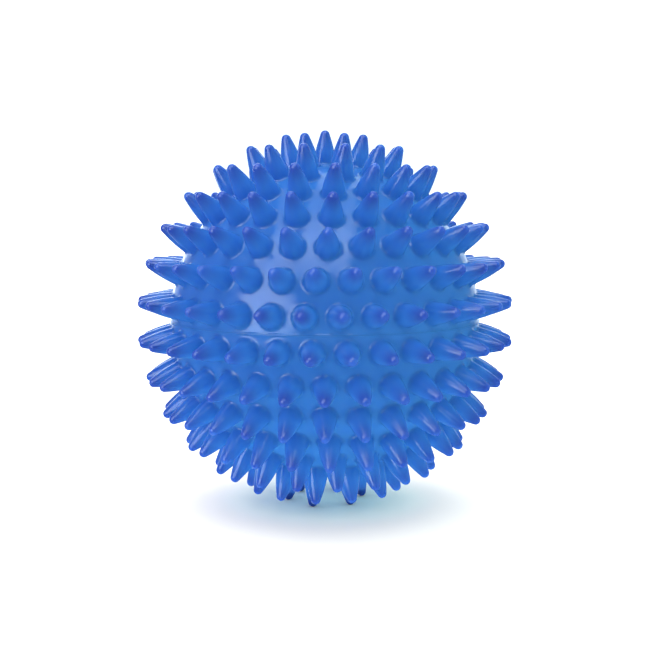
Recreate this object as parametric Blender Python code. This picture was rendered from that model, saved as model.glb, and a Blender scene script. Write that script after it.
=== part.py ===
"""Spiky massage ball: two spiked half shells of soft vinyl that meet at the
equator, and an air valve with a pull-out plug at the bottom pole.

Run with: blender --background --python part.py
Metres, +Z up. The ball stands on its lowest ring of spikes at z = 0.
"""
import math

import bmesh
import bpy
from mathutils import Vector
from mathutils.geometry import delaunay_2d_cdt

MM = 0.001

# Sphere that the spike tips touch, and the hollow core that the spikes stand on
TIP_RADIUS = 50.0 * MM
CORE_RADIUS = 41.0 * MM
INNER_RADIUS = 38.5 * MM
SEAM_GAP = 0.3 * MM

# Rows of spikes, counted from the seam towards the pole of each half
FIRST_ROW = math.radians(6.0)
ROW_STEP = math.radians(12.0)
UPPER_ROWS = ((31, 5), (30, -3), (27, 1), (23, 3), (18, 5), (12, 15), (6, 30))
LOWER_ROWS = ((31, -4), (30, 0), (27, 0), (24, 2), (18, 6), (13, -7), (6, -18))

# Spike outline: height above the core and radius, from the foot to the shoulder
SPIKE_HEIGHT = TIP_RADIUS - CORE_RADIUS
SPIKE_OUTLINE = ((0.0 * MM, 3.0 * MM), (4.5 * MM, 2.3 * MM), (8.0 * MM, 1.2 * MM))
SPIKE_SIDES = 6

# Half shells
RIM_SIDES = 48
INNER_RINGS = 7
CAP_RADIUS = 5.0 * MM

# Valve: a flat land at the bottom pole, with the valve body through its bore
LAND_Z = -math.sqrt(CORE_RADIUS ** 2 - CAP_RADIUS ** 2)
BOSS_Z = -37.5 * MM
TURNED_SIDES = 24
VALVE_BORE_RADIUS = 3.2 * MM
FIT_GAP = 0.3 * MM
VALVE_FLANGE_RADIUS = 4.8 * MM
VALVE_FLANGE_THICKNESS = 1.2 * MM
VALVE_HUB_RADIUS = 2.7 * MM
VALVE_HUB_Z = -32.0 * MM
PLUG_BORE_RADIUS = 1.5 * MM
PLUG_STEM_RADIUS = PLUG_BORE_RADIUS - FIT_GAP
PLUG_HEAD_RADIUS = 2.4 * MM
PLUG_HEAD_THICKNESS = 1.0 * MM
PLUG_STEM_LENGTH = 6.5 * MM
PLUG_TIP_CHAMFER = 0.4 * MM


def clear_scene():
    for thing in list(bpy.data.objects):
        bpy.data.objects.remove(thing, do_unlink=True)


def make_material(name, colour, roughness, metallic=0.0):
    material = bpy.data.materials.new(name)
    material.use_nodes = True
    shader = material.node_tree.nodes["Principled BSDF"]
    shader.inputs["Base Color"].default_value = (*colour, 1.0)
    shader.inputs["Roughness"].default_value = roughness
    shader.inputs["Metallic"].default_value = metallic
    return material


def add_object(name, mesh_builder, material, centre_height):
    """Turn a bmesh in ball-centre coordinates into a named, placed object."""
    mesh = bpy.data.meshes.new(name)
    bmesh.ops.recalc_face_normals(mesh_builder, faces=mesh_builder.faces[:])
    mesh_builder.to_mesh(mesh)
    mesh_builder.free()
    mesh.shade_smooth()
    mesh.set_sharp_from_angle(angle=math.radians(50.0))
    mesh.materials.append(material)
    thing = bpy.data.objects.new(name, mesh)
    thing.location = (0.0, 0.0, centre_height)
    bpy.context.scene.collection.objects.link(thing)
    return thing


def circle(radius, z, sides):
    """Points of a level circle about the Z axis."""
    turn = 2.0 * math.pi / sides
    return [Vector((radius * math.cos(i * turn), radius * math.sin(i * turn), z)) for i in range(sides)]


def spike_direction(latitude, azimuth):
    """Unit vector; azimuth 0 is the front, -Y, and grows towards +X."""
    level = math.cos(latitude)
    return Vector((level * math.sin(azimuth), -level * math.cos(azimuth), math.sin(latitude)))


def spike_directions(rows, side, pole_spike):
    """Axis of every spike of one half. side is 1 for the upper half, -1 for the lower."""
    directions = []
    for row, (count, turn) in enumerate(rows):
        latitude = side * (FIRST_ROW + row * ROW_STEP)
        for i in range(count):
            azimuth = math.radians(turn) + 2.0 * math.pi * i / count
            directions.append(spike_direction(latitude, azimuth))
    if pole_spike:
        directions.append(Vector((0.0, 0.0, float(side))))
    return directions


def spike_ring(axis, height, radius):
    """One level of a spike, as points about its axis. The foot lies on the core."""
    across = axis.cross(Vector((0.0, 0.0, 1.0)))
    if across.length < 0.01:
        across = Vector((1.0, 0.0, 0.0))
    across.normalize()
    along = axis.cross(across)
    level = CORE_RADIUS + height
    if height == 0.0:
        level = math.sqrt(CORE_RADIUS ** 2 - radius ** 2)
    points = []
    for i in range(SPIKE_SIDES):
        angle = 2.0 * math.pi * i / SPIKE_SIDES
        points.append(axis * level + (across * math.cos(angle) + along * math.sin(angle)) * radius)
    return points


def ring_of_verts(builder, points):
    return [builder.verts.new(point) for point in points]


def join_rings(builder, first, second):
    """Quads between two rings of the same count."""
    count = len(first)
    for i in range(count):
        j = (i + 1) % count
        builder.faces.new((first[i], first[j], second[j], second[i]))


def close_ring(builder, ring, tip):
    """Triangles from a ring to one point."""
    top = builder.verts.new(tip)
    count = len(ring)
    for i in range(count):
        builder.faces.new((ring[i], ring[(i + 1) % count], top))


def fill_core(builder, rim, feet):
    """Triangles of the core's outer face between the rim and the spikes' feet.

    The half sphere is spread flat from the far pole, triangulated there with
    the feet as fixed outlines, and the triangles inside a foot are left out.
    """
    rings = [rim] + feet
    verts = [vert for ring in rings for vert in ring]
    owner = [number for number, ring in enumerate(rings) for _ in ring]
    flat = []
    for vert in verts:
        spread = CORE_RADIUS + abs(vert.co.z)
        flat.append(Vector((vert.co.x / spread, vert.co.y / spread)))
    edges = []
    start = 0
    for ring in rings:
        count = len(ring)
        edges += [(start + i, start + (i + 1) % count) for i in range(count)]
        start += count
    result = delaunay_2d_cdt(flat, edges, [], 0, 1e-7, True)
    triangles = result[2]
    sources = result[3]
    for triangle in triangles:
        corners = [sources[i][0] for i in triangle]
        numbers = {owner[i] for i in corners}
        inside_foot = len(numbers) == 1 and 0 not in numbers
        if not inside_foot:
            builder.faces.new([verts[i] for i in corners])


def raise_spike(builder, foot, axis):
    ring = foot
    for height, radius in SPIKE_OUTLINE[1:]:
        above = ring_of_verts(builder, spike_ring(axis, height, radius))
        join_rings(builder, ring, above)
        ring = above
    close_ring(builder, ring, axis * TIP_RADIUS)


def line_inside(builder, rim, side, opening):
    """Smooth inner face from the rim to the pole, or to the valve boss."""
    reach = math.acos(CAP_RADIUS / INNER_RADIUS)
    start = math.asin(0.5 * SEAM_GAP / INNER_RADIUS)
    ring = rim
    for step in range(INNER_RINGS + 1):
        latitude = start + (reach - start) * step / INNER_RINGS
        radius = INNER_RADIUS * math.cos(latitude)
        above = ring_of_verts(builder, circle(radius, side * INNER_RADIUS * math.sin(latitude), RIM_SIDES))
        join_rings(builder, ring, above)
        ring = above
    if opening:
        above = ring_of_verts(builder, circle(CAP_RADIUS, BOSS_Z, RIM_SIDES))
        join_rings(builder, ring, above)
        return above
    close_ring(builder, ring, Vector((0.0, 0.0, side * INNER_RADIUS)))
    return None


def shell_mesh(rows, side, opening):
    """One spiked half shell, hollow, with its rim half a seam gap from the equator."""
    builder = bmesh.new()
    rim_z = 0.5 * SEAM_GAP
    rim_radius = math.sqrt(CORE_RADIUS ** 2 - rim_z ** 2)
    rim = ring_of_verts(builder, circle(rim_radius, side * rim_z, RIM_SIDES))
    axes = spike_directions(rows, side, not opening)
    foot_height, foot_radius = SPIKE_OUTLINE[0]
    feet = [ring_of_verts(builder, spike_ring(axis, foot_height, foot_radius)) for axis in axes]
    outlines = list(feet)
    if opening:
        land = ring_of_verts(builder, circle(CAP_RADIUS, LAND_Z, RIM_SIDES))
        outlines.append(land)
    fill_core(builder, rim, outlines)
    for foot, axis in zip(feet, axes):
        raise_spike(builder, foot, axis)
    boss = line_inside(builder, rim, side, opening)
    if opening:
        mouth = ring_of_verts(builder, circle(VALVE_BORE_RADIUS, LAND_Z, RIM_SIDES))
        throat = ring_of_verts(builder, circle(VALVE_BORE_RADIUS, BOSS_Z, RIM_SIDES))
        join_rings(builder, land, mouth)
        join_rings(builder, mouth, throat)
        join_rings(builder, throat, boss)
    return builder


def turned_mesh(outline, closed):
    """Solid of revolution about Z. A closed outline goes round a bore; an open
    one starts and ends on the axis."""
    builder = bmesh.new()
    points = outline if closed else outline[1:-1]
    rings = [ring_of_verts(builder, circle(radius, z, TURNED_SIDES)) for radius, z in points]
    for first, second in zip(rings, rings[1:]):
        join_rings(builder, first, second)
    if closed:
        join_rings(builder, rings[-1], rings[0])
    else:
        close_ring(builder, rings[0], Vector((0.0, 0.0, outline[0][1])))
        close_ring(builder, rings[-1], Vector((0.0, 0.0, outline[-1][1])))
    return builder


def valve_body_mesh():
    """Rubber bush: a neck through the shell, and a flange on the boss inside."""
    neck = VALVE_BORE_RADIUS - FIT_GAP
    flange_z = BOSS_Z + FIT_GAP
    outline = (
        (PLUG_BORE_RADIUS, LAND_Z),
        (neck, LAND_Z),
        (neck, flange_z),
        (VALVE_FLANGE_RADIUS, flange_z),
        (VALVE_FLANGE_RADIUS, flange_z + VALVE_FLANGE_THICKNESS),
        (VALVE_HUB_RADIUS, flange_z + VALVE_FLANGE_THICKNESS),
        (VALVE_HUB_RADIUS, VALVE_HUB_Z),
        (PLUG_BORE_RADIUS, VALVE_HUB_Z),
    )
    return turned_mesh(outline, closed=True)


def valve_plug_mesh():
    """Stopper: a thin round head outside the land and a stem in the bush."""
    head_top = LAND_Z - FIT_GAP
    head_bottom = head_top - PLUG_HEAD_THICKNESS
    stem_tip = head_top + PLUG_STEM_LENGTH
    outline = (
        (0.0, head_bottom),
        (PLUG_HEAD_RADIUS - PLUG_TIP_CHAMFER, head_bottom),
        (PLUG_HEAD_RADIUS, head_bottom + PLUG_TIP_CHAMFER),
        (PLUG_HEAD_RADIUS, head_top),
        (PLUG_STEM_RADIUS, head_top),
        (PLUG_STEM_RADIUS, stem_tip - PLUG_TIP_CHAMFER),
        (PLUG_STEM_RADIUS - PLUG_TIP_CHAMFER, stem_tip),
        (0.0, stem_tip),
    )
    return turned_mesh(outline, closed=False)


def main():
    clear_scene()
    upper = shell_mesh(UPPER_ROWS, 1, opening=False)
    lower = shell_mesh(LOWER_ROWS, -1, opening=True)
    centre_height = -min(vert.co.z for vert in lower.verts)
    blue_vinyl = (0.035, 0.16, 0.57)
    pale_rubber = (0.72, 0.74, 0.74)
    add_object("upper_shell", upper, make_material("upper_shell", blue_vinyl, 0.18), centre_height)
    add_object("lower_shell", lower, make_material("lower_shell", blue_vinyl, 0.18), centre_height)
    add_object("valve_body", valve_body_mesh(), make_material("valve_body", (0.03, 0.11, 0.36), 0.45),
               centre_height)
    add_object("valve_plug", valve_plug_mesh(), make_material("valve_plug", pale_rubber, 0.4), centre_height)


main()
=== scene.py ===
"""Looks of the spiky massage ball: detailed meshes, materials, light and camera."""
import math
import random

import bmesh
import bpy
import numpy as np
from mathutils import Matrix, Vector
from mathutils.geometry import delaunay_2d_cdt


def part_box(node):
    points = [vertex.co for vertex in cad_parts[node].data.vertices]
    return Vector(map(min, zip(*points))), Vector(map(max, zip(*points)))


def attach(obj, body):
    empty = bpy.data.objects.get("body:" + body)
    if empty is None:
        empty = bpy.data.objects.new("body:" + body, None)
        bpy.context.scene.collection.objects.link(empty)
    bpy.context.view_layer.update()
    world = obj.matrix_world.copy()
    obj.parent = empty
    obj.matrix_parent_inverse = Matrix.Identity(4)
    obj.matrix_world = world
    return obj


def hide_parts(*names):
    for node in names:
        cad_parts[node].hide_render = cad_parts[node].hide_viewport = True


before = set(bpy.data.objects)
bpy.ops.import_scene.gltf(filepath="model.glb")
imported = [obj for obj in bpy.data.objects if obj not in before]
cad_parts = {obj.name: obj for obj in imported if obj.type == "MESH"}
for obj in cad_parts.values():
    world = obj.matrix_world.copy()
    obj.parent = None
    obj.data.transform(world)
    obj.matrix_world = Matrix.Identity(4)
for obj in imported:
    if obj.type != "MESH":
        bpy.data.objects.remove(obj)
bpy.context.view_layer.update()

MM = 0.001

# Places and driving sizes, read from the frame
UPPER_LOW, UPPER_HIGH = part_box("upper_shell")
LOWER_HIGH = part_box("lower_shell")[1]
CENTRE = Vector((0.0, 0.0, 0.5 * (UPPER_LOW.z + LOWER_HIGH.z)))
TIP_RADIUS = UPPER_HIGH.z - CENTRE.z
CORE_RADIUS = 0.82 * TIP_RADIUS
INNER_RADIUS = 0.77 * TIP_RADIUS

# Rows of spikes from the seam to the pole of each half: how many, and the row's turn in degrees
FIRST_ROW = math.radians(6.0)
ROW_STEP = math.radians(12.0)
UPPER_ROWS = ((31, 5), (30, -3), (27, 1), (23, 3), (18, 5), (12, 15), (6, 30))
LOWER_ROWS = ((31, -4), (30, 0), (27, 0), (24, 2), (18, 6), (13, -7), (6, -18))

# Spike shape
SPIKE_HEIGHT = TIP_RADIUS - CORE_RADIUS
SPIKE_SIDES = 22
SIDE_RADIUS = 2.95 * MM
FILLET = 0.75 * MM
FOOT_RADIUS = SIDE_RADIUS + FILLET
TIP_ROUND = 1.25 * MM
SIDE_BULGE = 0.2 * MM
FILLET_STEPS = 4
SIDE_STEPS = 6
TIP_STEPS = 5
LEAN = 0.018
LEAN_SEED = 11

# Core
GRID = 0.8 * MM
RIM_MARGIN = 0.6 * GRID
FOOT_MARGIN = 0.35 * MM
RIM_SIDES = 240
INNER_RINGS = 24
SHARP_ANGLE = math.radians(55.0)

# Seam: a low bead, whose two halves meet in a fine groove
SEAM_LEVEL = 0.5 * MM
SEAM_BEAD = 0.16 * MM
SEAM_GROOVE = 0.015 * MM
SEAM_STEPS = 7
BEAD_TOP = 0.8
GROOVE_RISE = 0.8

# Valve: land and bore in the lower half, then the bush and the plug as in the frame
LAND_RADIUS = 4.65 * MM
BUSH_LOW, BUSH_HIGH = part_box("valve_body")
LAND_Z = BUSH_LOW.z - CENTRE.z
BUSH_TOP = BUSH_HIGH.z - CENTRE.z
BOSS_Z = -37.5 * MM
BORE_RADIUS = 3.2 * MM
NECK_RADIUS = 2.9 * MM
FLANGE_RADIUS = BUSH_HIGH.x
FLANGE_LOW = BOSS_Z + 0.3 * MM
FLANGE_HIGH = FLANGE_LOW + 1.2 * MM
HUB_RADIUS = 2.7 * MM
AIRWAY_RADIUS = 1.5 * MM
PLUG_LOW, PLUG_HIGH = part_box("valve_plug")
HEAD_LOW = PLUG_LOW.z - CENTRE.z
STEM_TOP = PLUG_HIGH.z - CENTRE.z
HEAD_HIGH = HEAD_LOW + 1.0 * MM
HEAD_RADIUS = PLUG_HIGH.x
STEM_RADIUS = 1.2 * MM
RIB = 0.15 * MM
RIBS = 3
FIRST_RIB = 1.6 * MM
RIB_STEP = 1.5 * MM
TURNED_SIDES = 96
LAND_SIDES = 240
SEAT_OUTLINE = (
    (4.5 * MM, LAND_Z - 0.025 * MM),
    (4.3 * MM, LAND_Z),
    (3.4 * MM, LAND_Z),
    (3.26 * MM, LAND_Z + 0.04 * MM),
    (BORE_RADIUS, LAND_Z + 0.16 * MM),
    (BORE_RADIUS, BOSS_Z - 0.2 * MM),
    (BORE_RADIUS + 0.2 * MM, BOSS_Z),
)

# Vinyl: the core's blue; the tips' deeper, more violet blue, darkened further as painted shade so that
# the tips, which catch more light than the core between the spikes, look no brighter than it; and the
# blue of faint clouds in it
CORE_BLUE = (0.030, 0.156, 0.478, 1.0)
TIP_BLUE_WITH_PAINTED_SHADE = (0.020, 0.052, 0.245, 1.0)
CLOUD_BLUE = (0.029, 0.139, 0.446, 1.0)
CLOUD_SCALE = 60.0
CLOUD_RANGE = (0.35, 0.75)
CLOUD_SHARE = 0.35
# Where the darker tip blue, partly painted shade, begins: 0.3 of the way up a spike
TIP_TINT_AND_SHADE_START = CORE_RADIUS + 0.3 * SPIKE_HEIGHT
VINYL_ROUGHNESS = (0.11, 0.17)
VINYL_IOR = 1.5
VINYL_SPECULAR = 0.2
RIPPLE_SCALE = 170.0
RIPPLE_DEPTH = 0.12 * MM
SCATTER_AT_SEAM = 0.25
SCATTER = 0.9
SCATTER_REACH = 3.0 * MM
SCATTER_DEPTH = 5.0 * MM
SCATTER_COLOURS = (0.5, 0.8, 1.0)

# Rubber of the bush and plastic of the plug: two colours, the roughness, and the grain
RUBBER_BLUES = ((0.022, 0.085, 0.30, 1.0), (0.034, 0.12, 0.38, 1.0))
RUBBER_ROUGHNESS = (0.40, 0.52)
GRAIN_SCALE = 2500.0
GRAIN_DEPTH = 0.02 * MM
PLASTIC_GREYS = ((0.70, 0.72, 0.71, 1.0), (0.76, 0.78, 0.78, 1.0))
PLASTIC_ROUGHNESS = (0.34, 0.44)
MOTTLE_SCALE = 700.0
MOTTLE_DEPTH = 0.01 * MM

# What most of a noise pattern lies between
NOISE_RANGE = (0.3, 0.7)

# Camera
ELEVATION = math.radians(5.6)
DISTANCE = 6.68 * TIP_RADIUS
LENS = 69.0
SENSOR_WIDTH = 36.0
AIM = Vector((0.04, 0.0, -1.69)) * MM

# Floor
FLOOR_SIZE = 12.0
PAPER = (0.76, 0.76, 0.69, 1.0)
PAPER_ROUGHNESS = 0.9

# Room as the surfaces get it: brightness at the sides and overhead, and tints
ROOM_SIDE = 1.45
ROOM_TOP = 2.1
LEFT_LIGHT = (1.20, 0.48, 1.10, 1.0)
RIGHT_LIGHT = (0.82, 1.10, 0.64, 1.0)
TOP_LIGHT = (1.05, 1.07, 1.08, 1.0)
SIDE_BLEND = (-0.8, 0.8)
TOP_BLEND = (0.1, 0.6)

# Room as the gloss shows it: dim in front, bright behind, and dimmer below the horizon
GLOSS_LIGHT = (0.86, 1.0, 1.10, 1.0)
GLOSS_FRONT = 0.15
GLOSS_BACK = 1.5
BACK_BLEND = (0.7, 1.0)
GLOSS_BELOW = 0.25
BELOW_BLEND = (-0.4, 0.0)

# Room as the camera shows it
BACKDROP = 1.3

# Lamps: direction and energy of the suns, then size, energy, colour and height of the discs
FLOOR_SUN_SPREAD = math.radians(50.0)
FLOOR_SUNS = (((-0.45, 0.45, 0.77), 1.5), ((0.40, 0.50, 0.77), 1.0))
GLOW = (54.0 * MM, 0.0024, (0.50, 1.0, 0.80), 5.0 * MM)
BOUNCE = (150.0 * MM, 0.076, (0.97, 1.06, 0.92), 2.0 * MM)

# Softboxes: each edge is the normal of a plane through the ball and the two ends of the soft step
# across it; the brightness of each softbox is in SOFTBOXES
FRONT_SOFTBOX = (
    ((-0.943, 0.334, 0.0), 0.0, 0.19),
    ((0.423, -0.906, 0.0), -0.08, 0.02),
    ((0.0, 0.0, 1.0), -0.24, -0.07),
    ((0.0, 0.0, -1.0), -0.8, -0.45),
)
TOP_SOFTBOX = (
    ((-1.0, 0.0, 0.335), -0.03, 0.03),
    ((1.0, -0.73, 0.61), -0.05, 0.12),
    ((0.0, 1.0, 1.0), -0.45, 0.3),
    ((0.0, -1.0, 0.0), -0.4, 0.7),
)
BACK_SOFTBOX = (
    ((-1.0, 0.0, 0.335), -0.03, 0.03),
    ((1.0, 0.0, 0.0), -0.45, -0.25),
    ((0.0, 1.0, 0.0), -0.2, 0.1),
)
SOFTBOXES = ((FRONT_SOFTBOX, 11.0), (TOP_SOFTBOX, 9.5), (BACK_SOFTBOX, 1.6))


def spike_direction(latitude, azimuth):
    """Unit vector; azimuth 0 is the front, -Y, and grows towards +X."""
    level = math.cos(latitude)
    return Vector((level * math.sin(azimuth), -level * math.cos(azimuth), math.sin(latitude)))


def spike_directions(rows, side, pole_spike):
    directions = []
    for row, (count, turn) in enumerate(rows):
        latitude = side * (FIRST_ROW + row * ROW_STEP)
        for i in range(count):
            azimuth = math.radians(turn) + 2.0 * math.pi * i / count
            directions.append(spike_direction(latitude, azimuth))
    if pole_spike:
        directions.append(Vector((0.0, 0.0, float(side))))
    return directions


def spike_outline():
    """Height above the core and radius, from just above the foot to just below the apex."""
    outline = []
    for i in range(1, FILLET_STEPS + 1):
        turn = 0.5 * math.pi * i / FILLET_STEPS
        outline.append((FILLET * (1.0 - math.cos(turn)), FOOT_RADIUS - FILLET * math.sin(turn)))
    tip_centre = SPIKE_HEIGHT - TIP_ROUND
    slope = math.atan2(SIDE_RADIUS - TIP_ROUND, tip_centre - FILLET)
    top_height = tip_centre + TIP_ROUND * math.sin(slope)
    top_radius = TIP_ROUND * math.cos(slope)
    for i in range(1, SIDE_STEPS + 1):
        t = i / SIDE_STEPS
        height = FILLET + (top_height - FILLET) * t
        radius = SIDE_RADIUS + (top_radius - SIDE_RADIUS) * t
        outline.append((height, radius + SIDE_BULGE * math.sin(math.pi * t)))
    for i in range(1, TIP_STEPS):
        angle = slope + (0.5 * math.pi - slope) * i / TIP_STEPS
        outline.append((tip_centre + TIP_ROUND * math.sin(angle), TIP_ROUND * math.cos(angle)))
    return outline


def side_axes(axis):
    """Two unit vectors across a spike's axis."""
    across = axis.cross(Vector((0.0, 0.0, 1.0)))
    if across.length < 0.01:
        across = Vector((1.0, 0.0, 0.0))
    across.normalize()
    return across, axis.cross(across)


def circle(radius, z, sides):
    turn = 2.0 * math.pi / sides
    return [Vector((radius * math.cos(i * turn), radius * math.sin(i * turn), z)) for i in range(sides)]


def ring_of_verts(builder, points):
    return [builder.verts.new(point) for point in points]


def join_rings(builder, first, second):
    count = len(first)
    for i in range(count):
        j = (i + 1) % count
        builder.faces.new((first[i], first[j], second[j], second[i]))


def close_ring(builder, ring, tip):
    top = builder.verts.new(tip)
    count = len(ring)
    for i in range(count):
        builder.faces.new((ring[i], ring[(i + 1) % count], top))


def foot_ring(axis):
    across, along = side_axes(axis)
    level = math.sqrt(CORE_RADIUS ** 2 - FOOT_RADIUS ** 2)
    points = []
    for i in range(SPIKE_SIDES):
        angle = 2.0 * math.pi * i / SPIKE_SIDES
        points.append(axis * level + (across * math.cos(angle) + along * math.sin(angle)) * FOOT_RADIUS)
    return points


def raise_spike(builder, foot, axis, outline, draw):
    """Rings from the foot to the rounded tip. The spike leans a little, as soft vinyl does."""
    across, along = side_axes(axis)
    lean = (across * draw.uniform(-1.0, 1.0) + along * draw.uniform(-1.0, 1.0)) * LEAN
    sink = CORE_RADIUS - math.sqrt(CORE_RADIUS ** 2 - FOOT_RADIUS ** 2)
    ring = foot
    for height, radius in outline:
        lift = height - sink * max(0.0, 1.0 - height / FILLET)
        middle = axis * (CORE_RADIUS + lift) + lean * height
        points = []
        for i in range(SPIKE_SIDES):
            angle = 2.0 * math.pi * i / SPIKE_SIDES
            points.append(middle + (across * math.cos(angle) + along * math.sin(angle)) * radius)
        above = ring_of_verts(builder, points)
        join_rings(builder, ring, above)
        ring = above
    close_ring(builder, ring, axis * TIP_RADIUS + lean * SPIKE_HEIGHT)


def core_points(axes, side, lowest, pole_hole):
    """An even spread of points on the core, clear of the feet, the rim and the valve land."""
    points = []
    rows = int(0.5 * math.pi * CORE_RADIUS / GRID)
    for row in range(rows + 1):
        latitude = row * GRID / CORE_RADIUS
        if CORE_RADIUS * math.sin(latitude) < lowest + RIM_MARGIN:
            continue
        radius = CORE_RADIUS * math.cos(latitude)
        if radius < pole_hole + RIM_MARGIN:
            continue
        count = max(1, round(2.0 * math.pi * radius / GRID))
        offset = 0.5 * (row % 2)
        for i in range(count):
            angle = 2.0 * math.pi * (i + offset) / count
            points.append((radius * math.cos(angle), radius * math.sin(angle),
                           side * CORE_RADIUS * math.sin(latitude)))
    points = np.array(points)
    axes = np.array([tuple(axis) for axis in axes])
    closest = (points @ axes.T).max(1) / CORE_RADIUS
    keep = closest < math.cos((FOOT_RADIUS + FOOT_MARGIN) / CORE_RADIUS)
    return [Vector(point) for point in points[keep]]


def fill_core(builder, rings, loose):
    """Triangles of the core between the rings, worked out on the half sphere spread flat.

    The first ring is the rim. The others are holes, and a triangle with all its corners on one
    of them is left out.
    """
    verts = [vert for ring in rings for vert in ring] + loose
    owner = [number for number, ring in enumerate(rings) for _ in ring] + [-1] * len(loose)
    flat = []
    for vert in verts:
        spread = CORE_RADIUS + abs(vert.co.z)
        flat.append(Vector((vert.co.x / spread, vert.co.y / spread)))
    edges = []
    start = 0
    for ring in rings:
        count = len(ring)
        edges += [(start + i, start + (i + 1) % count) for i in range(count)]
        start += count
    result = delaunay_2d_cdt(flat, edges, [], 0, 1e-6, True)
    sources = result[3]
    for triangle in result[2]:
        corners = [sources[i][0] for i in triangle]
        numbers = {owner[i] for i in corners}
        inside_hole = len(numbers) == 1 and numbers.isdisjoint({0, -1})
        if not inside_hole:
            builder.faces.new([verts[i] for i in corners])


def seam_outline(side):
    """Radius and level from the core over the bead to the groove."""
    outline = []
    for i in range(1, SEAM_STEPS + 1):
        t = i / SEAM_STEPS
        level = SEAM_LEVEL + (SEAM_GROOVE - SEAM_LEVEL) * t
        rise = SEAM_BEAD * math.sin(0.5 * math.pi * min(1.0, t / BEAD_TOP)) ** 2
        if i == SEAM_STEPS:
            rise = GROOVE_RISE * SEAM_BEAD
        outline.append((math.sqrt(CORE_RADIUS ** 2 - level ** 2) + rise, side * level))
    return outline


def finish_mesh(name, builder):
    mesh = bpy.data.meshes.new(name)
    bmesh.ops.recalc_face_normals(builder, faces=builder.faces[:])
    bmesh.ops.translate(builder, verts=builder.verts[:], vec=CENTRE)
    builder.to_mesh(mesh)
    builder.free()
    mesh.shade_smooth()
    mesh.set_sharp_from_angle(angle=SHARP_ANGLE)
    thing = bpy.data.objects.new(name, mesh)
    bpy.context.scene.collection.objects.link(thing)
    return thing


def half_shell(name, rows, side, opening, draw):
    """Core, spikes, half of the seam's bead and the inner wall, with the valve's seat if it has one."""
    builder = bmesh.new()
    rim_radius = math.sqrt(CORE_RADIUS ** 2 - SEAM_LEVEL ** 2)
    rim = ring_of_verts(builder, circle(rim_radius, side * SEAM_LEVEL, RIM_SIDES))
    axes = spike_directions(rows, side, not opening)
    feet = [ring_of_verts(builder, foot_ring(axis)) for axis in axes]
    rings = [rim] + feet
    pole_hole = 0.0
    if opening:
        pole_hole = LAND_RADIUS
        land_level = -math.sqrt(CORE_RADIUS ** 2 - LAND_RADIUS ** 2)
        land = ring_of_verts(builder, circle(LAND_RADIUS, land_level, LAND_SIDES))
        rings.append(land)
    loose = ring_of_verts(builder, core_points(axes, side, SEAM_LEVEL, pole_hole))
    fill_core(builder, rings, loose)
    outline = spike_outline()
    for foot, axis in zip(feet, axes):
        raise_spike(builder, foot, axis, outline, draw)
    ring = rim
    for radius, level in seam_outline(side):
        above = ring_of_verts(builder, circle(radius, level, RIM_SIDES))
        join_rings(builder, ring, above)
        ring = above
    inner = line_inside(builder, ring, side, opening)
    if opening:
        ring = land
        for radius, level in SEAT_OUTLINE:
            above = ring_of_verts(builder, circle(radius, level, LAND_SIDES))
            join_rings(builder, ring, above)
            ring = above
        join_rings(builder, ring, inner)
    return finish_mesh(name, builder)


def line_inside(builder, rim, side, opening):
    """Inner wall from the seam to the pole, or to the flat boss around the valve's bore."""
    ring = rim
    start = math.asin(SEAM_GROOVE / INNER_RADIUS)
    end = math.asin(-BOSS_Z / INNER_RADIUS) if opening else 0.5 * math.pi
    steps = INNER_RINGS + 1 if opening else INNER_RINGS
    for step in range(steps):
        latitude = start + (end - start) * step / INNER_RINGS
        radius = INNER_RADIUS * math.cos(latitude)
        level = side * INNER_RADIUS * math.sin(latitude)
        above = ring_of_verts(builder, circle(radius, level, RIM_SIDES))
        join_rings(builder, ring, above)
        ring = above
    if not opening:
        close_ring(builder, ring, Vector((0.0, 0.0, side * INNER_RADIUS)))
    return ring


def turned(name, outline, closed):
    """Solid of revolution about Z. A closed outline goes round a bore; an open one ends on the axis."""
    builder = bmesh.new()
    points = outline if closed else outline[1:-1]
    rings = [ring_of_verts(builder, circle(radius, z, TURNED_SIDES)) for radius, z in points]
    for first, second in zip(rings, rings[1:]):
        join_rings(builder, first, second)
    if closed:
        join_rings(builder, rings[-1], rings[0])
    else:
        close_ring(builder, rings[0], Vector((0.0, 0.0, outline[0][1])))
        close_ring(builder, rings[-1], Vector((0.0, 0.0, outline[-1][1])))
    return finish_mesh(name, builder)


def rounded(corners, steps=4):
    """The outline with its corners rounded. A corner is r, z and its rounding, 0 for a sharp one."""
    outline = []
    count = len(corners)
    for i, (*corner, radius) in enumerate(corners):
        if radius == 0.0:
            outline.append(tuple(corner))
            continue
        here = Vector(corner)
        before = (Vector(corners[i - 1][:2]) - here).normalized()
        after = (Vector(corners[(i + 1) % count][:2]) - here).normalized()
        half = 0.5 * before.angle(after)
        start = here + before * (radius / math.tan(half))
        end = here + after * (radius / math.tan(half))
        middle = here + (before + after).normalized() * (radius / math.sin(half))
        for step in range(steps + 1):
            point = start.lerp(end, step / steps) - middle
            outline.append(tuple(middle + point.normalized() * radius))
    return outline


def bush():
    """Rubber valve bush: a grooved face in the land, a neck, a flange on the boss and a tapered hub."""
    groove_z = LAND_Z + 0.15 * MM
    corners = (
        (AIRWAY_RADIUS, LAND_Z, 0.2 * MM),
        (2.0 * MM, LAND_Z, 0.05 * MM),
        (2.1 * MM, groove_z, 0.04 * MM),
        (2.3 * MM, groove_z, 0.04 * MM),
        (2.4 * MM, LAND_Z, 0.05 * MM),
        (NECK_RADIUS, LAND_Z, 0.15 * MM),
        (NECK_RADIUS, FLANGE_LOW, 0.0),
        (FLANGE_RADIUS, FLANGE_LOW, 0.25 * MM),
        (FLANGE_RADIUS, FLANGE_HIGH, 0.35 * MM),
        (HUB_RADIUS, FLANGE_HIGH, 0.3 * MM),
        (HUB_RADIUS - 0.3 * MM, BUSH_TOP, 0.45 * MM),
        (AIRWAY_RADIUS, BUSH_TOP, 0.15 * MM),
    )
    return turned("valve_bush", rounded(corners), True)


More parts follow.
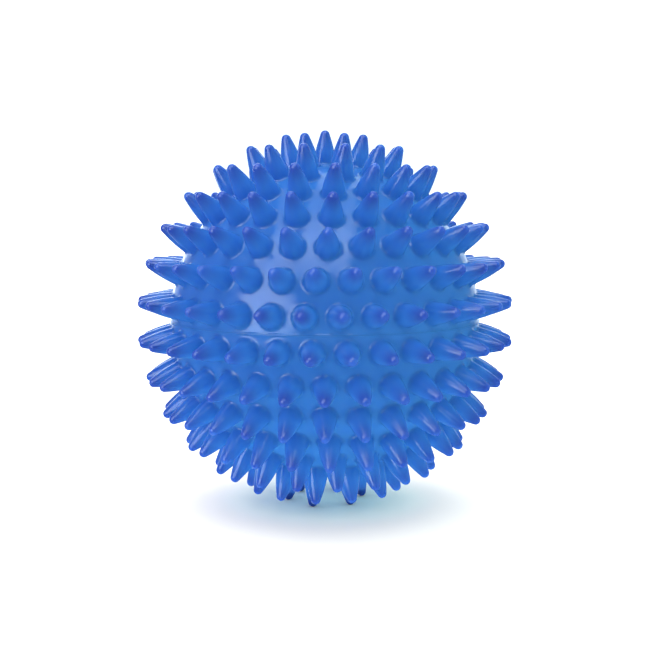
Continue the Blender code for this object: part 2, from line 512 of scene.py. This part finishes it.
def plug():
    """Stopper: a dished round head with a soft rim, and a ribbed stem with a rounded tip."""
    dish_z = HEAD_LOW + 0.2 * MM
    corners = [
        (0.0, dish_z, 0.0),
        (1.2 * MM, dish_z, 0.2 * MM),
        (1.5 * MM, HEAD_LOW, 0.15 * MM),
        (HEAD_RADIUS, HEAD_LOW, 0.4 * MM),
        (HEAD_RADIUS, HEAD_HIGH, 0.2 * MM),
        (STEM_RADIUS, HEAD_HIGH, 0.1 * MM),
    ]
    for rib in range(RIBS):
        level = HEAD_HIGH + FIRST_RIB + rib * RIB_STEP
        corners += [
            (STEM_RADIUS, level - 0.3 * MM, 0.1 * MM),
            (STEM_RADIUS + RIB, level - 0.1 * MM, 0.08 * MM),
            (STEM_RADIUS + RIB, level + 0.1 * MM, 0.08 * MM),
            (STEM_RADIUS, level + 0.3 * MM, 0.1 * MM),
        ]
    corners += [
        (STEM_RADIUS, STEM_TOP, 0.7 * MM),
        (0.0, STEM_TOP, 0.0),
    ]
    return turned("valve_stopper", rounded(corners), False)


def new_material(name):
    material = bpy.data.materials.new(name)
    material.use_nodes = True
    return material, material.node_tree, material.node_tree.nodes["Principled BSDF"]


def noise(tree, scale, detail):
    place = tree.nodes.new("ShaderNodeTexCoord")
    pattern = tree.nodes.new("ShaderNodeTexNoise")
    pattern.inputs["Scale"].default_value = scale
    pattern.inputs["Detail"].default_value = detail
    tree.links.new(place.outputs["Object"], pattern.inputs["Vector"])
    return pattern.outputs["Fac"]


def bump(tree, shader, pattern, depth):
    """Relief of the given depth in metres."""
    relief = tree.nodes.new("ShaderNodeBump")
    relief.inputs["Distance"].default_value = depth
    tree.links.new(pattern, relief.inputs["Height"])
    tree.links.new(relief.outputs["Normal"], shader.inputs["Normal"])


def mix_colours(tree, factor, first, second):
    mix = tree.nodes.new("ShaderNodeMix")
    mix.data_type = "RGBA"
    tree.links.new(factor, mix.inputs["Factor"])
    for socket, colour in ((mix.inputs["A"], first), (mix.inputs["B"], second)):
        if isinstance(colour, tuple):
            socket.default_value = colour
        else:
            tree.links.new(colour, socket)
    return mix.outputs["Result"]


def dot_product(tree, direction, axis):
    dot = tree.nodes.new("ShaderNodeVectorMath")
    dot.operation = "DOT_PRODUCT"
    dot.inputs[1].default_value = axis
    tree.links.new(direction, dot.inputs[0])
    return dot.outputs["Value"]


def soft_step(tree, value, start, end, low=0.0, high=1.0):
    step = tree.nodes.new("ShaderNodeMapRange")
    step.interpolation_type = "SMOOTHSTEP"
    step.inputs["From Min"].default_value = start
    step.inputs["From Max"].default_value = end
    step.inputs["To Min"].default_value = low
    step.inputs["To Max"].default_value = high
    tree.links.new(value, step.inputs["Value"])
    return step.outputs["Result"]


def calculate(tree, operation, first, second):
    node = tree.nodes.new("ShaderNodeMath")
    node.operation = operation
    for socket, value in zip(node.inputs, (first, second)):
        if isinstance(value, float):
            socket.default_value = value
        else:
            tree.links.new(value, socket)
    return node.outputs["Value"]


def vinyl():
    """Soft translucent vinyl: deep blue, darker towards the spike tips (partly its own deeper tone,
    partly painted shade against the stronger light on the tips), glossy with faint ripples.
    """
    material, tree, shader = new_material("blue_vinyl")
    place = tree.nodes.new("ShaderNodeTexCoord")
    offset = tree.nodes.new("ShaderNodeVectorMath")
    offset.operation = "SUBTRACT"
    offset.inputs[1].default_value = CENTRE
    tree.links.new(place.outputs["Object"], offset.inputs[0])
    length = tree.nodes.new("ShaderNodeVectorMath")
    length.operation = "LENGTH"
    tree.links.new(offset.outputs[0], length.inputs[0])
    radius = length.outputs["Value"]
    # Painted shade: from partway up each spike the blue darkens to the tip, partly the vinyl's own
    # deeper tone and partly to cancel the extra light the tips get
    tint = mix_colours(tree, soft_step(tree, radius, TIP_TINT_AND_SHADE_START, TIP_RADIUS), CORE_BLUE, TIP_BLUE_WITH_PAINTED_SHADE)
    cloud = soft_step(tree, noise(tree, CLOUD_SCALE, 2.0), *CLOUD_RANGE, 0.0, CLOUD_SHARE)
    tree.links.new(mix_colours(tree, cloud, tint, CLOUD_BLUE), shader.inputs["Base Color"])
    ripple = noise(tree, RIPPLE_SCALE, 1.0)
    roughness = soft_step(tree, ripple, *NOISE_RANGE, *VINYL_ROUGHNESS)
    tree.links.new(roughness, shader.inputs["Roughness"])
    bump(tree, shader, ripple, RIPPLE_DEPTH)
    shader.inputs["IOR"].default_value = VINYL_IOR
    shader.inputs["Specular IOR Level"].default_value = VINYL_SPECULAR
    # Light that scatters over the gap between the halves would draw a line, so it fades at the seam
    level = calculate(tree, "ABSOLUTE", dot_product(tree, offset.outputs[0], (0.0, 0.0, 1.0)), 0.0)
    scatter = soft_step(tree, level, 0.0, SCATTER_REACH, SCATTER_AT_SEAM, SCATTER)
    tree.links.new(scatter, shader.inputs["Subsurface Weight"])
    shader.inputs["Subsurface Radius"].default_value = SCATTER_COLOURS
    shader.inputs["Subsurface Scale"].default_value = SCATTER_DEPTH
    return material


def rubber():
    """Satin blue rubber with a fine grain."""
    material, tree, shader = new_material("blue_rubber")
    grain = noise(tree, GRAIN_SCALE, 3.0)
    tree.links.new(mix_colours(tree, grain, *RUBBER_BLUES), shader.inputs["Base Color"])
    roughness = soft_step(tree, grain, *NOISE_RANGE, *RUBBER_ROUGHNESS)
    tree.links.new(roughness, shader.inputs["Roughness"])
    bump(tree, shader, grain, GRAIN_DEPTH)
    return material


def pale_plastic():
    """Satin moulded plastic of the plug, slightly mottled."""
    material, tree, shader = new_material("pale_plastic")
    mottle = noise(tree, MOTTLE_SCALE, 2.0)
    tree.links.new(mix_colours(tree, mottle, *PLASTIC_GREYS), shader.inputs["Base Color"])
    roughness = soft_step(tree, mottle, *NOISE_RANGE, *PLASTIC_ROUGHNESS)
    tree.links.new(roughness, shader.inputs["Roughness"])
    bump(tree, shader, mottle, MOTTLE_DEPTH)
    return material


def softbox(tree, direction, edges, strength):
    """One soft panel as seen from the ball: each edge is a plane through it, with a soft step across."""
    panel = strength
    for axis, start, end in edges:
        edge = soft_step(tree, dot_product(tree, direction, axis), start, end)
        panel = calculate(tree, "MULTIPLY", edge, panel)
    return panel


def surroundings():
    """White room: even light for the surfaces, softboxes for the gloss, and white for the camera."""
    world = bpy.data.worlds.new("studio")
    world.use_nodes = True
    tree = world.node_tree
    place = tree.nodes.new("ShaderNodeTexCoord")
    direction = place.outputs["Generated"]
    height = dot_product(tree, direction, (0.0, 0.0, 1.0))
    even = soft_step(tree, height, 0.0, 1.0, ROOM_SIDE, ROOM_TOP)
    panels = 0.0
    for edges, strength in SOFTBOXES:
        panels = calculate(tree, "MAXIMUM", panels, softbox(tree, direction, edges, strength))
    depth = dot_product(tree, direction, (0.0, 1.0, 0.0))
    behind = soft_step(tree, depth, *BACK_BLEND, GLOSS_FRONT, GLOSS_BACK)
    above = soft_step(tree, height, *BELOW_BLEND, GLOSS_BELOW, 1.0)
    gloss = calculate(tree, "ADD", calculate(tree, "MULTIPLY", behind, above), panels)
    path = tree.nodes.new("ShaderNodeLightPath")
    seen = tree.nodes.new("ShaderNodeMix")
    tree.links.new(path.outputs["Is Glossy Ray"], seen.inputs["Factor"])
    tree.links.new(even, seen.inputs["A"])
    tree.links.new(gloss, seen.inputs["B"])
    backdrop = tree.nodes.new("ShaderNodeMix")
    tree.links.new(path.outputs["Is Camera Ray"], backdrop.inputs["Factor"])
    tree.links.new(seen.outputs["Result"], backdrop.inputs["A"])
    backdrop.inputs["B"].default_value = BACKDROP
    across = soft_step(tree, dot_product(tree, direction, (1.0, 0.0, 0.0)), *SIDE_BLEND)
    sides = mix_colours(tree, across, LEFT_LIGHT, RIGHT_LIGHT)
    room_tint = mix_colours(tree, soft_step(tree, height, *TOP_BLEND), sides, TOP_LIGHT)
    untinted = calculate(tree, "MAXIMUM", path.outputs["Is Glossy Ray"], path.outputs["Is Camera Ray"])
    tint = mix_colours(tree, untinted, room_tint, GLOSS_LIGHT)
    background = tree.nodes["Background"]
    tree.links.new(tint, background.inputs["Color"])
    tree.links.new(backdrop.outputs["Result"], background.inputs["Strength"])
    bpy.context.scene.world = world


def studio():
    """Pale paper floor, the lights and the way that colours are shown."""
    mesh = bpy.data.meshes.new("floor")
    half = 0.5 * FLOOR_SIZE
    corners = [(-half, -half, 0.0), (half, -half, 0.0), (half, half, 0.0), (-half, half, 0.0)]
    mesh.from_pydata(corners, [], [(0, 1, 2, 3)])
    floor = bpy.data.objects.new("floor", mesh)
    bpy.context.scene.collection.objects.link(floor)
    paper = bpy.data.materials.new("paper")
    paper.use_nodes = True
    shader = paper.node_tree.nodes["Principled BSDF"]
    shader.inputs["Base Color"].default_value = PAPER
    shader.inputs["Roughness"].default_value = PAPER_ROUGHNESS
    shader.inputs["Specular IOR Level"].default_value = 0.0
    mesh.materials.append(paper)
    floor.visible_glossy = False
    floor_suns(floor)
    disc_light("glow", GLOW, 0.0)
    disc_light("bounce", BOUNCE, math.pi)
    surroundings()
    bpy.context.scene.view_settings.view_transform = "Standard"


def disc_light(name, lamp, turn):
    """Round lamp level with the floor, unseen itself: it shines down, or up when turned over.

    The glow stands for light that comes through the ball onto the floor, and the bounce for light
    from the floor onto the underside of the ball.
    """
    size, energy, colour, height = lamp
    light = bpy.data.lights.new(name, "AREA")
    light.shape = "DISK"
    light.size = size
    light.energy = energy
    light.color = colour
    thing = bpy.data.objects.new(name, light)
    thing.location = (0.0, 0.0, height)
    thing.rotation_euler = (turn, 0.0, 0.0)
    thing.visible_camera = False
    thing.visible_glossy = False
    bpy.context.scene.collection.objects.link(thing)


def floor_suns(floor):
    """Two soft back lights for the floor alone, which keep the shadow under the ball short."""
    lit = bpy.data.collections.new("floor_only")
    lit.objects.link(floor)
    for number, (place, energy) in enumerate(FLOOR_SUNS):
        light = bpy.data.lights.new("floor_sun_%d" % number, "SUN")
        light.energy = energy
        light.angle = FLOOR_SUN_SPREAD
        thing = bpy.data.objects.new(light.name, light)
        thing.rotation_euler = Vector(place).to_track_quat("Z", "Y").to_euler()
        thing.light_linking.receiver_collection = lit
        bpy.context.scene.collection.objects.link(thing)


def camera():
    view = bpy.data.cameras.new("camera")
    view.lens = LENS
    view.sensor_width = SENSOR_WIDTH
    view.clip_start = 0.01
    thing = bpy.data.objects.new("camera", view)
    thing.location = CENTRE + Vector((0.0, -math.cos(ELEVATION), math.sin(ELEVATION))) * DISTANCE
    thing.rotation_euler = (CENTRE + AIM - thing.location).to_track_quat("-Z", "Y").to_euler()
    bpy.context.scene.collection.objects.link(thing)
    bpy.context.scene.camera = thing


def main():
    draw = random.Random(LEAN_SEED)
    upper = half_shell("spiked_top", UPPER_ROWS, 1, False, draw)
    lower = half_shell("spiked_bottom", LOWER_ROWS, -1, True, draw)
    blue = vinyl()
    pieces = (
        (upper, "upper_shell", "ball", blue),
        (lower, "lower_shell", "ball", blue),
        (bush(), "valve_body", "ball", rubber()),
        (plug(), "valve_plug", "plug", pale_plastic()),
    )
    for piece, node, body, material in pieces:
        piece.data.materials.append(material)
        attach(piece, body)
        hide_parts(node)
    studio()
    camera()


main()
